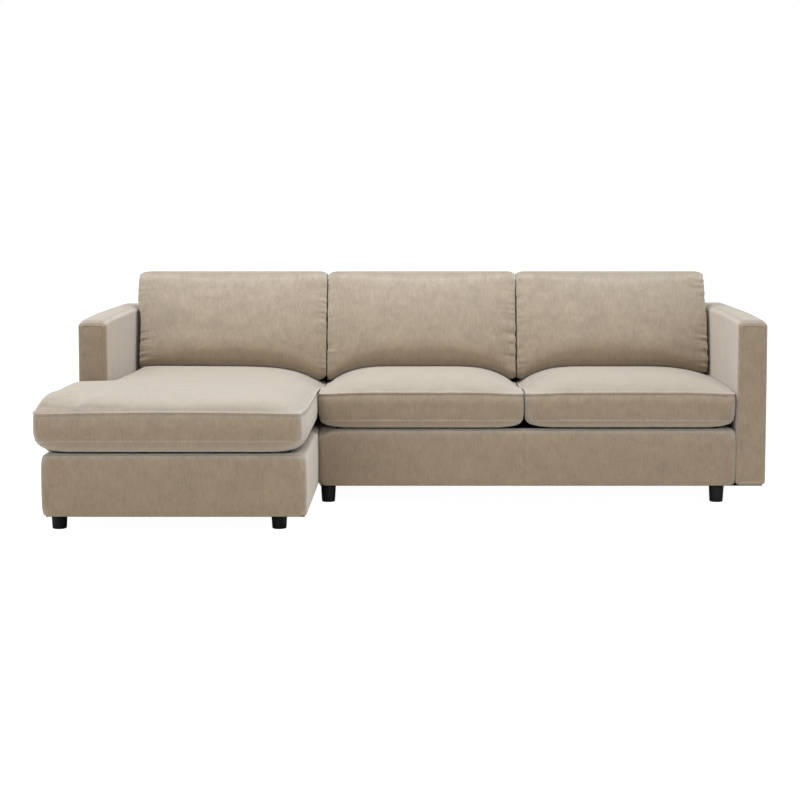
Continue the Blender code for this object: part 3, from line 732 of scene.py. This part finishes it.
def arm_skin(name, node, inner_side, stands_out, rear_lift):
    """A cover round an arm.

    inner_side is 1 where the seat is on its right. stands_out is how far the outer side bows out
    and rear_lift how far the top rises to the back.
    """
    low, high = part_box(node)
    seam = 0.014
    left, right = low.x + seam, high.x - seam
    bottom, top = low.z + seam, high.z - seam
    columns = spread(left, right, 0.012, (0.004, 0.009, 0.015))
    rows = spread(bottom, top, 0.022, SEAM_FINE)
    front, rear = low.y, high.y
    edge = 0.019
    sewn_edge = (
        (0.0, 0.0012, 0.006),
        (0.0018, -0.0006, 0.007),
        (0.0036, -0.0004, 0.008),
        (0.0048, 0.0018, 0.009),
        (0.0062, 0.0018, 0.010),
        (0.0088, 0.0022, 0.012),
        (0.0112, 0.0046, 0.014),
        (0.0131, 0.0084, 0.016),
        (0.0139, 0.0130, 0.018),
        (0.0140, 0.0200, edge),
        (0.0140, 0.0320, edge),
    )
    rings = [(outset, front + depth, radius) for outset, depth, radius in sewn_edge]
    length = rear - front - 2 * 0.0320
    steps = 34
    for step in range(1, steps + 1):
        rings.append((0.0140, front + 0.0320 + length * step / steps, edge))
    for outset, depth, radius in reversed(rings[:10]):
        rings.append((outset, rear - (depth - front), radius))
    shares = (0.35, 0.35, 1.4 if inner_side < 0 else 1.0, 1.4 if inner_side > 0 else 1.0)
    corners = square_corners(left, right, bottom, top, shares)

    def dome(u, v):
        across = 1 - abs((u - left) / (right - left) * 2 - 1) ** 2.5
        return 0.0035 * across * clamp(min(v - bottom, top - v) / 0.05)

    def place(u, v, depth):
        share = clamp((depth - front) / (rear - front))
        belly = math.sin(math.pi * share) ** 0.5
        rise = (v - low.z) / (high.z - low.z)
        swell = 0.0026 * belly * math.sin(math.pi * clamp(rise))
        middle = (low.x + high.x) / 2
        side = (u - middle) / (high.x - middle)
        u += swell * max(-1.0, min(1.0, side))
        if side * inner_side < 0:
            u += side * (stands_out + 0.003 * (1.0 - rise)) * min(1.0, (depth - front) / 0.02 + 0.4)
        v += (0.0014 * belly + rear_lift * share) * rise ** 6
        start = clamp((depth - front) / 0.045)
        v -= 0.013 * (1 - math.sqrt(start * (2 - start))) * rise ** 8
        v -= 0.006 * hump(depth - front, 0.22) * rise ** 8
        return Vector((u, depth, v))

    skin, _ = sewn(name, columns, rows, corners, rings, place, dome)
    smoothed(skin)
    for number, x in enumerate((low.x + 0.0045, high.x - 0.0045)):
        line = [
            (x, front + 0.012 + (rear - front - 0.03) * step / 60, high.z - 0.0045)
            for step in range(61)
        ]
        inner = (x > (low.x + high.x) / 2) == (inner_side > 0)
        pucker(skin, line, 0.0024 if inner else 0.0010, 0.016, 0.019, 3 + number, 0.0016, 0.0024)
    finish_soft(skin, node)


arm_skin("left_arm_skin", "left_arm_cover", 1, 0.0, 0.0)
arm_skin("right_arm_skin", "right_arm_cover", -1, 0.0028, 0.004)


# Back covers
# Chenille over foam round the upright frames behind the back cushions, one to each module, with
# a rear panel sewn in round its edge.

def back_skin(name, node):
    low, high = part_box(node)
    seam = 0.008
    left, right = low.x + seam, high.x - seam
    bottom, top = low.z + seam, high.z - seam
    columns = spread(left, right, 0.030, SEAM_FINE)
    rows = spread(bottom, top, 0.030, SEAM_FINE)
    front, rear = low.y, high.y
    edge = 0.018
    sewn_edge = (
        (0.0, 0.0010, 0.010),
        (0.0022, -0.0004, 0.012),
        (0.0040, -0.0008, 0.013),
        (0.0052, 0.0006, 0.014),
        (0.0058, 0.0026, 0.015),
        (0.0068, 0.0050, 0.016),
        (0.0078, 0.0100, edge),
        (0.0080, 0.0180, edge),
    )
    rings = [(outset, rear - depth, radius) for outset, depth, radius in sewn_edge]
    for step in range(1, 6):
        rings.append((0.0080, rear - 0.018 - (rear - front - 0.036) * step / 6, edge))
    rings += [(outset, front + depth, radius) for outset, depth, radius in reversed(sewn_edge)]
    corners = square_corners(left, right, bottom, top, (0.35, 0.35, 0.7, 0.7))

    def dome(u, v):
        return 0.003 * clamp(min(u - left, right - u, v - bottom, top - v) / 0.06)

    def place(u, v, depth):
        return Vector((u, depth, v))

    skin, _ = sewn(name, columns, rows, corners, rings, place, dome)
    smoothed(skin)
    finish_soft(skin, node)


back_skin("chaise_back_skin", "chaise_back_cover")
back_skin("sofa_back_skin", "sofa_back_cover")


# Seat cushions
# Foam and feather in chenille covers: a crowned top panel, an upright band with a seam above and
# a fine one below, and an underside that rounds in to the deck. The chaise's has an ear.

SEAT_CELL = 0.0135
SEAM_HEIGHT = 0.409
LOW_SEAM_HEIGHT = 0.308
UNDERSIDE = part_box("sofa_seat_cushion_left")[0].z + 0.0004
CROWN = 0.036
CROWN_REACH = 0.25
SEAM_INSET = 0.0085
ear_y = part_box("left_arm_cover")[0].y - 0.004 - SEAM_INSET
ear_middle = ear_y - 0.07
seat_surfaces = []


def stuffed(piece, held, slack, sideways):
    """Lets the filling press the cover outwards between the loops of points that seams hold.

    slack is how far the cloth gives, and sideways the share kept of what it moves level, where
    the cut of the band holds it flat.
    """
    most = 0.010
    last_frame = 20
    start = get_points(piece)
    group = piece.vertex_groups.new(name="held")
    group.add(sorted({index for loop in held for index in loop}), 1.0, "REPLACE")
    filling = piece.modifiers.new("filling", "CLOTH")
    cloth = filling.settings
    cloth.quality = 6
    cloth.mass = 0.3
    cloth.tension_stiffness = 15.0
    cloth.compression_stiffness = 15.0
    cloth.shear_stiffness = 5.0
    cloth.bending_stiffness = 0.5
    cloth.use_pressure = True
    cloth.uniform_pressure_force = 4.0
    cloth.vertex_group_mass = "held"
    cloth.pin_stiffness = 1.0
    cloth.shrink_min = -slack
    cloth.effector_weights.gravity = 0.0
    filling.collision_settings.use_collision = False
    filling.point_cache.frame_start = 1
    filling.point_cache.frame_end = last_frame
    scene = bpy.context.scene
    for number in range(1, last_frame + 1):
        scene.frame_set(number)
    graph = bpy.context.evaluated_depsgraph_get()
    result = piece.evaluated_get(graph).to_mesh()
    moved = np.zeros(len(result.vertices) * 3)
    result.vertices.foreach_get("co", moved)
    piece.evaluated_get(graph).to_mesh_clear()
    shift = moved.reshape(-1, 3) - start
    length = np.linalg.norm(shift, axis=1)
    share = min(1.0, most / np.percentile(length, 99))
    piece.modifiers.clear()
    piece.vertex_groups.clear()
    scene.frame_set(1)
    shift *= share
    shift[:, :2] *= sideways
    over = np.maximum(1.0, np.linalg.norm(shift, axis=1) / (1.3 * most))
    set_points(piece, start + shift / over[:, None])


def fullness(x, y, spans):
    """How full the filling stands over a plan of joined spans: 0 at the seams, 1 in the middle.

    A span is its left, right, front and rear, and how far the fall to each side reaches. A short
    fall is round, like a roll.
    """
    hollow = 1.0
    for left, right, front, rear, reaches in spans:
        full = 1.0
        for inside, reach in zip((x - left, right - x, y - front, rear - y), reaches):
            near = clamp(inside / reach)
            full *= math.sqrt(near * (2.0 - near)) if reach < 0.06 else 1.0 - (1.0 - near) ** 2.6
        hollow *= 1.0 - full
    return 1.0 - hollow


def seat_rings(pull, low_seam, band_swell, bias):
    """The seam with its folded edge, the band, the fine seam and the rounded underside.

    A bias over 1 puts the band's fullest line lower.
    """
    folded_edge = (
        (0.0, 0.0040, 0.016),
        (0.0030, 0.0054, 0.018),
        (0.0064, 0.0048, 0.020),
        (0.0080, 0.0016, 0.022),
        (0.0060, -0.0016, 0.022),
        (0.0022, -0.0032, 0.020),
        (0.0026, -0.0056, 0.020),
        (0.0058, -0.0096, 0.022),
    )
    rings = [(outset, SEAM_HEIGHT + rise, radius) for outset, rise, radius in folded_edge]
    top = SEAM_HEIGHT - 0.009
    end = low_seam + 0.006
    rows = 7
    for row in range(1, rows):
        share = row / rows
        swell = band_swell * math.sin(math.pi * share ** bias) ** 0.5
        rings.append((0.0062 + swell, top + (end - top) * share, 0.023 + 0.017 * share))
    rings += [
        (0.0062, low_seam + 0.0060, 0.040),
        (0.0050, low_seam + 0.0030, 0.042),
        (0.0072, low_seam + 0.0010, 0.043),
        (0.0070, low_seam - 0.0012, 0.044),
        (0.0042, low_seam - 0.0030, 0.045),
    ]
    curl = low_seam - 0.003 - UNDERSIDE
    for step in range(1, 8):
        angle = 0.40 * math.pi * step / 7
        inset = pull * (1 - math.cos(angle))
        height = UNDERSIDE + 0.0034 * step / 7 + curl * (1 - math.sin(angle))
        rings.append((0.0042 - inset, height, 0.043 + 0.035 * step / 7))
    rings.append((-pull - 0.006, UNDERSIDE + 0.0030, 0.090))
    rings.append((-pull - 0.040, UNDERSIDE, 0.120))
    return rings


def seat_cushion(name, node, spans, columns, rows, kept, corners, pull, low_seam, shared, seed):
    """pull is how far the underside rounds in; shared holds the sides that meet a next cushion."""
    one_span = len(spans) == 1
    rings = seat_rings(pull, low_seam, *((0.0024, 1.0) if one_span else (0.0026, 1.9)))
    seam_ring, low_seam_ring = 5, 16
    (left, front), right = corners[0][:2], corners[1][0]

    def dome(u, v):
        full = CROWN * fullness(u, v, spans)
        if not one_span:
            along_arm = 0.52 if v > ear_middle else 0.30
            ear = math.exp(-(((u - arm_inner) / 0.22) ** 2) - ((v - ear_middle) / along_arm) ** 2)
            edge = hump(u - left, 0.13)
            full *= 1.0 + max(0.36 * ear, 0.13 * edge)
            in_u = max(0.0, u - left)
            in_v = max(0.0, v - front)
            roll_u = min(1.0, in_u / 0.021)
            roll_v = min(1.0, in_v / 0.036)
            roll = math.sqrt(roll_u * (2.0 - roll_u) * roll_v * (2.0 - roll_v))
            full += 0.015 * roll * math.exp(-((in_u / 0.20) ** 2) - (in_v / 0.24) ** 2)
        return full

    def place(u, v, depth):
        """The seams sag towards the corners, and where the back cushions press on the sides.

        The chaise's rise again in the middle of its front and along its left side.
        """
        near = min(math.hypot(u - cu, v - cv) for cu, cv, _, _, _ in corners)
        sag = (0.006 if one_span else 0.001) * hump(near, 0.10)
        side = min(abs(u - edge) for edge in shared)
        pressed = eased(clamp((v + 0.10) / 0.50))
        sag += 0.016 * pressed * hump(side, 0.08)
        if one_span:
            sag += 0.014 * pressed * hump(side, 0.022)
        else:
            sag += pressed * (0.014 * hump(side, 0.19))
            sag += pressed * (0.006 * hump(side, 0.03))
            along = clamp((u - left) / (right - left))
            sag -= 0.005 * math.sin(math.pi * along) * hump(v - front, 0.06)
            behind = clamp((ear_middle - v) / 0.20)
            away = 1.0 - math.exp(-max(0.0, v - front) / 0.018)
            sag -= 0.007 * behind * away * hump(u - left, 0.05)
        above = clamp((depth - low_seam) / (SEAM_HEIGHT - low_seam))
        low = max(0.0, 1.0 - (depth - UNDERSIDE) / (0.042 if one_span else 0.055)) ** 1.5
        draw = low * hump(near, 0.08)
        if draw:
            cu, cv, su, sv, _ = min(corners, key=lambda c: math.hypot(u - c[0], v - c[1]))
            draw *= 0.012 if su > 0 else 0.007
            u += su * draw
            v += sv * draw
        if not one_span:
            u -= 0.011 * hump(math.hypot(u - right, v - front), 0.11)
        return Vector((u, v, depth - sag * above))

    piece, loops = sewn(name, columns, rows, corners, rings, place, dome, kept, lying=True)
    held = loops[:8] + loops[low_seam_ring - 2 : low_seam_ring + 4] + loops[-3:]
    stuffed(piece, held, 0.004, 0.9 if one_span else 0.4)
    before = get_points(piece)
    seam_line = before[loops[seam_ring] + loops[seam_ring][:1]]
    low_line = before[loops[low_seam_ring] + loops[low_seam_ring][:1]]
    smoothed(piece)
    pucker(piece, seam_line, 0.0022, 0.020, 0.024, seed)
    pucker(piece, low_line, 0.0010, 0.012, 0.020, seed + 3)
    low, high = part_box(node)
    points = get_points(piece)
    points[:, 0] = np.clip(points[:, 0], low.x - 0.0008, high.x + 0.0008)
    points[:, 1] = np.clip(points[:, 1], low.y, high.y)
    points[:, 2] = np.maximum(points[:, 2], UNDERSIDE)
    set_points(piece, points)
    finish_soft(piece, node)
    places = [vertex.co.copy() for vertex in piece.data.vertices]
    faces = [tuple(face.vertices) for face in piece.data.polygons]
    seat_surfaces.append(BVHTree.FromPolygons(places, faces))


def top_panel(node):
    """The left, right, front and rear of a seat cushion's top panel."""
    low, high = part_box(node)
    return low.x + SEAM_INSET, high.x - SEAM_INSET, low.y + SEAM_INSET, high.y - SEAM_INSET


for number, node in enumerate(("sofa_seat_cushion_left", "sofa_seat_cushion_right")):
    left, right, front, rear = top_panel(node)
    seat_cushion(
        "seat_cushion_" + ("middle", "right")[number],
        node,
        [(left, right, front, rear, (CROWN_REACH,) * 4)],
        spread(left, right, SEAT_CELL),
        spread(front, rear, SEAT_CELL),
        lambda u, v: True,
        square_corners(left, right, front, rear),
        (0.044, 0.054)[number],
        LOW_SEAM_HEIGHT,
        (left, right) if number == 0 else (left,),
        11 + 20 * number,
    )

left, right, front, rear = top_panel("chaise_seat_cushion")
step_x = arm_inner + 0.004 + SEAM_INSET
corners = [
    (left, front, 1, 1, 1.0),
    (right, front, -1, 1, 1.0),
    (right, rear, -1, -1, 1.0),
    (step_x, rear, 1, -1, 1.0),
    (left, ear_y, 1, -1, 1.0),
]
seat_cushion(
    "seat_cushion_chaise",
    "chaise_seat_cushion",
    [
        (step_x, right, front, rear, (0.028, CROWN_REACH, CROWN_REACH, CROWN_REACH)),
        (left, right, front, ear_y, (0.029, CROWN_REACH, CROWN_REACH, 0.05)),
    ],
    spread(left, step_x, SEAT_CELL, (0.004, 0.010, 0.018))[:-1] + spread(step_x, right, SEAT_CELL),
    spread(front, ear_y, SEAT_CELL)[:-1] + spread(ear_y, rear, SEAT_CELL),
    lambda u, v: u > step_x or v < ear_y,
    corners,
    0.056,
    LOW_SEAM_HEIGHT + 0.012,
    (right,),
    57,
)


# Back cushions
# Three feather-filled cushions that stand on the seats and lean on the backs. The front runs over
# the top in one piece; gussets are sewn in at the two ends, with the cloth gathered to them.

BACK_DEPTH = 0.225


def seat_top(x, y):
    """Height of the seat cushions' tops at a point, or of their rear seams beside them."""
    highest = SEAM_HEIGHT - 0.020
    for surface in seat_surfaces:
        found = surface.ray_cast(Vector((x, min(y, 0.60), 1.0)), Vector((0.0, 0.0, -1.0)))
        if found[0] is not None:
            highest = max(highest, found[0].z)
    return highest


def back_cushion(name, node, seed, left_draw, right_draw, lifts):
    """A back cushion with its own fall at each end.

    left_draw and right_draw hold how far the front of an end stands in, high up and low down, and
    lifts how far the lower corners turn up.
    """
    low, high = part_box(node)
    rear = high.y - 0.001
    bottom = SEAM_HEIGHT
    top = high.z - 0.004
    tall = top - bottom
    seam = 0.009
    columns = spread(0.0, BACK_DEPTH - 2 * seam, 0.0095)
    rows = spread(0.0, tall - 2 * seam, 0.0095)
    wide = columns[-1]
    high_side = rows[-1]
    inner = high.x - low.x
    folded = [
        (0.0, 0.0040, 0.030),
        (0.0030, 0.0020, 0.032),
        (0.0058, 0.0030, 0.034),
        (0.0068, 0.0058, 0.035),
        (0.0048, 0.0084, 0.036),
        (0.0072, 0.0120, 0.037),
    ]
    rings = list(folded)
    body = inner - 2 * 0.0120
    steps = round(body / 0.0150)
    for step in range(1, steps):
        rings.append((0.0090, 0.0120 + body * step / steps, 0.038))
    rings += [(outset, inner - depth, radius) for outset, depth, radius in reversed(folded)]
    corners = square_corners(0.0, wide, 0.0, high_side)

    def dome(u, v):
        return 0.004 * clamp(min(u, wide - u, v, high_side - v) / 0.06)

    def place(u, v, depth):
        """u runs from front to rear, v up, depth across; the front leans back and swells."""
        from_end = max(0.0, min(depth, inner - depth))
        plump = 1.0 - (1.0 - min(1.0, from_end / 0.22)) ** 2
        cap = 1.0 - (1.0 - min(1.0, from_end / 0.026)) ** 2
        rise = (v + seam) / tall
        frontness = 1.0 - (u + seam) / BACK_DEPTH
        lean = 0.130 * max(0.0, (rise - 0.03) / 0.97) ** 1.55
        swell = 0.018 * plump * math.sin(math.pi * clamp(rise) ** 0.8)
        y = rear - BACK_DEPTH * frontness + (lean - swell) * frontness
        y += 0.010 * (1 - plump) * frontness
        z = bottom + v + seam
        z -= 0.011 * (1.0 - cap) * max(0.0, rise - 0.5) / 0.5
        x = low.x + depth
        under = seat_top(min(high.x - 2.5 * lifts[1], max(low.x + 2.5 * lifts[0], x)), y)
        z += (under - bottom) * max(0.0, 1.0 - rise / 0.45)
        lift = lifts[0] if depth < inner / 2 else lifts[1]
        z += lift * (1.0 - min(1.0, from_end / 0.045)) ** 2 * max(0.0, 1.0 - rise / 0.25)
        down = eased(clamp((0.76 - rise) / 0.22))
        for draw, from_side, way in ((left_draw, depth, 1), (right_draw, inner - depth, -1)):
            stands_in = draw[0] + (draw[1] - draw[0]) * down
            x += way * stands_in * frontness * max(0.0, 1.0 - from_side / 0.12)
        return Vector((x, y, z))

    piece, loops = sewn(name, columns, rows, corners, rings, place, dome)
    stuffed(piece, loops[:6] + loops[-6:], 0.0, 1.0)
    before = get_points(piece)
    seams = [before[loops[index] + loops[index][:1]] for index in (3, -4)]
    smoothed(piece)
    for number, line in enumerate(seams):
        pucker(piece, line, 0.0052, 0.024, 0.0115, seed + 7 * number)
    points = get_points(piece)
    points[:, 0] = np.clip(points[:, 0], low.x + 0.5 * min(0.0, left_draw[0]), high.x)
    points[:, 1] = np.minimum(points[:, 1], rear)
    for index in np.nonzero(points[:, 2] < bottom + 0.09)[0]:
        points[index, 2] = max(points[index, 2], seat_top(*points[index, :2]) + 0.0006)
    set_points(piece, points)
    finish_soft(piece, node)


ENDS = {
    "left": (120, (-0.007, 0.009), (0.0, 0.0), (0.006, 0.015)),
    "middle": (167, (0.0, 0.0), (0.0, 0.0), (0.003, 0.009)),
    "right": (204, (0.0, 0.0), (0.0065, 0.002), (0.009, 0.006)),
}
for side, ends in ENDS.items():
    back_cushion("stuffed_back_cushion_" + side, "back_cushion_" + side, *ends)


# Studio
# A pale floor with a white surround, three large soft lamps, and the camera where it stood.

WHITE = (1.0, 1.0, 1.0, 1.0)


def white_floor():
    """Pale to light and shadows, and close to white where the camera sees it."""
    finish, shader = new_finish("pale_floor", 0.9)
    shader.inputs["Base Color"].default_value = (0.8, 0.8, 0.8, 1.0)
    seen = add_node(finish, "LightPath").outputs["Is Camera Ray"]
    pale = add_node(finish, "BsdfDiffuse", {"Color": (0.34, 0.34, 0.34, 1.0)})
    glow = add_node(finish, "Emission", {"Color": WHITE, "Strength": 0.97})
    both = add_node(finish, "AddShader")
    choice = add_node(finish, "MixShader")
    wire(finish, pale.outputs["BSDF"], both.inputs[0])
    wire(finish, glow.outputs["Emission"], both.inputs[1])
    wire(finish, seen, choice.inputs["Fac"])
    wire(finish, shader.outputs["BSDF"], choice.inputs[1])
    wire(finish, both.outputs["Shader"], choice.inputs[2])
    output = finish.node_tree.nodes["Material Output"]
    wire(finish, choice.outputs["Shader"], output.inputs["Surface"])
    return finish


FLOOR_REACH = 60.0
ends = ((-1, -1), (1, -1), (1, 1), (-1, 1))
floor_points = [(x * FLOOR_REACH, y * FLOOR_REACH, 0.0) for x, y in ends]
floor = new_piece("floor", floor_points, [(0, 1, 2, 3)], white_floor())

world = bpy.data.worlds.new("studio")
world.use_nodes = True
bpy.context.scene.world = world
sky = world.node_tree.nodes["Background"]
sky.inputs["Color"].default_value = WHITE
sky.inputs["Strength"].default_value = 0.57
backdrop = add_node(world, "Background", {"Color": WHITE, "Strength": 1.0})
rays = add_node(world, "LightPath").outputs
glossy = add_node(world, "Math", operation="MAXIMUM")
through = add_node(world, "Math", operation="MAXIMUM")
choice = add_node(world, "MixShader")
wire(world, rays["Is Camera Ray"], glossy.inputs[0])
wire(world, rays["Is Glossy Ray"], glossy.inputs[1])
wire(world, glossy.outputs[0], through.inputs[0])
wire(world, rays["Is Transmission Ray"], through.inputs[1])
wire(world, through.outputs[0], choice.inputs["Fac"])
wire(world, sky.outputs[0], choice.inputs[1])
wire(world, backdrop.outputs[0], choice.inputs[2])
wire(world, choice.outputs[0], world.node_tree.nodes["World Output"].inputs["Surface"])


def soft_lamp(name, place, target, size, power):
    lamp = bpy.data.lights.new(name, "AREA")
    lamp.shape = "RECTANGLE"
    lamp.size = size[0]
    lamp.size_y = size[1]
    lamp.energy = power
    holder = bpy.data.objects.new(name, lamp)
    holder.location = place
    toward = Vector(target) - Vector(place)
    holder.rotation_euler = toward.to_track_quat("-Z", "Y").to_euler()
    bpy.context.scene.collection.objects.link(holder)


soft_lamp("overhead_softbox", (-0.4, -0.3, 3.6), (-0.3, 0.0, 0.3), (3.8, 2.6), 112.0)
soft_lamp("left_softbox", (-1.8, -4.6, 1.8), (-0.4, 0.0, 0.4), (3.0, 2.0), 40.0)
soft_lamp("right_softbox", (2.8, -3.6, 1.6), (-0.6, 0.0, 0.4), (2.0, 1.6), 17.0)

LENS = 81.36
LOOKS_DOWN = 6.2825
camera_data = bpy.data.cameras.new("camera")
camera_data.lens = LENS
camera_data.sensor_width = 36.0
camera_data.shift_x = -0.032
camera_data.clip_end = 200.0
camera = bpy.data.objects.new("camera", camera_data)
camera.location = (0.0265, -6.744, 1.110)
camera.rotation_euler = (math.radians(90.0 - LOOKS_DOWN), 0.0, 0.0)
bpy.context.scene.collection.objects.link(camera)
bpy.context.scene.camera = camera
bpy.context.scene.view_settings.view_transform = "Standard"
